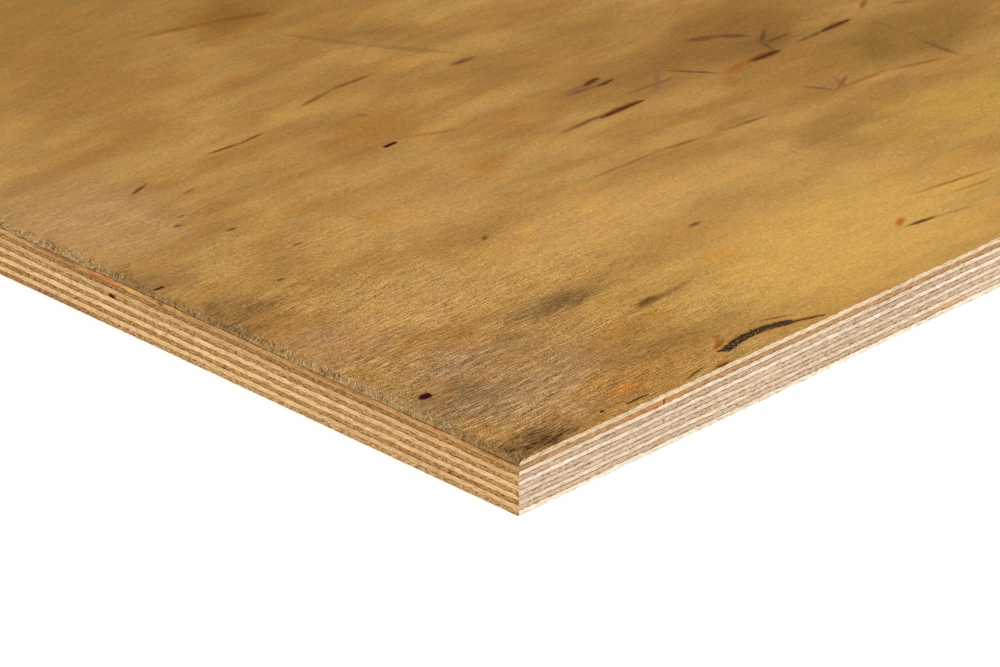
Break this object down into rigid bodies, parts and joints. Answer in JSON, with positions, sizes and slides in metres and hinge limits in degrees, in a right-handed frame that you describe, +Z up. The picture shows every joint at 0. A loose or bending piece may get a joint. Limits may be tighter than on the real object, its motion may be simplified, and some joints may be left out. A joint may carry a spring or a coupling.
{
  "type": "plywood sheet",
  "caption": "Full birch plywood sheet lying flat, glued from crossed veneers, with an aged and stained face, square sawn edges and frayed crosscut ends.",
  "frame": {"origin": "middle of the underside, on the surface that the sheet lies on", "axes": "+X along the grain of the face veneer, +Y across it, +Z up out of the face veneer"},
  "size_m": [1.525, 1.525, 0.015],
  "materials": {
    "face_birch": "bare, aged and stained",
    "cross_birch": "bare, sawn",
    "long_birch": "bare, sawn",
    "back_birch": "bare, sanded"
  },
  "bodies": {
    "root": {"face_veneer": "face_birch", "cross_ply_02": "cross_birch", "long_ply_03": "long_birch", "cross_ply_04": "cross_birch", "long_ply_05": "long_birch", "cross_ply_06": "cross_birch", "long_ply_07": "long_birch", "cross_ply_08": "cross_birch", "long_ply_09": "long_birch", "cross_ply_10": "cross_birch", "back_veneer": "back_birch"}
  },
  "joints": []
}
